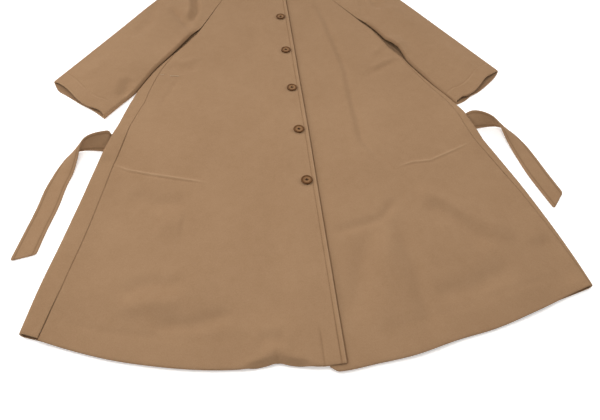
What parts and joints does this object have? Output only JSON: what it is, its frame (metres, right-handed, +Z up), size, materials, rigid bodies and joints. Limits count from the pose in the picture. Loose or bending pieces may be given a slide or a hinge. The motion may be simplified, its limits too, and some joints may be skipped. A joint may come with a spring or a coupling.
{
  "type": "balmacaan coat",
  "caption": "A wool balmacaan coat with raglan sleeves and a turn-down collar, buttoned up and laid flat on its back, its tie belt passed under it and out at both sides",
  "frame": {"origin": "middle of the box on the surface that the coat lies on, under its back", "axes": "+Z up, out of the fronts; +Y from the hem to the collar; +X towards the wearer's left side"},
  "size_m": [0.907, 1.0797, 0.033],
  "materials": {
    "back_cloth": "camel brown brushed wool coating",
    "front_right_cloth": "camel brown brushed wool coating",
    "front_left_cloth": "camel brown brushed wool coating",
    "sleeve_right_front_cloth": "camel brown brushed wool coating",
    "sleeve_right_back_cloth": "camel brown brushed wool coating",
    "sleeve_left_front_cloth": "camel brown brushed wool coating",
    "sleeve_left_back_cloth": "camel brown brushed wool coating",
    "collar_cloth": "camel brown brushed wool coating",
    "belt_cloth": "camel brown brushed wool coating, stitched near its edges",
    "pocket_right_cloth": "plain brown pocketing",
    "pocket_left_cloth": "plain brown pocketing",
    "button_1_horn": "brown horn look, dished, semi-matte",
    "button_2_horn": "brown horn look, dished, semi-matte",
    "button_3_horn": "brown horn look, dished, semi-matte",
    "button_4_horn": "brown horn look, dished, semi-matte",
    "button_5_horn": "brown horn look, dished, semi-matte",
    "button_6_horn": "brown horn look, dished, semi-matte"
  },
  "bodies": {
    "root": {"back": "back_cloth", "front_right": "front_right_cloth", "front_left": "front_left_cloth", "sleeve_right_front": "sleeve_right_front_cloth", "sleeve_right_back": "sleeve_right_back_cloth", "sleeve_left_front": "sleeve_left_front_cloth", "sleeve_left_back": "sleeve_left_back_cloth", "collar": "collar_cloth", "belt": "belt_cloth", "pocket_right": "pocket_right_cloth", "pocket_left": "pocket_left_cloth", "button_1": "button_1_horn", "button_2": "button_2_horn", "button_3": "button_3_horn", "button_4": "button_4_horn", "button_5": "button_5_horn", "button_6": "button_6_horn"}
  },
  "joints": []
}
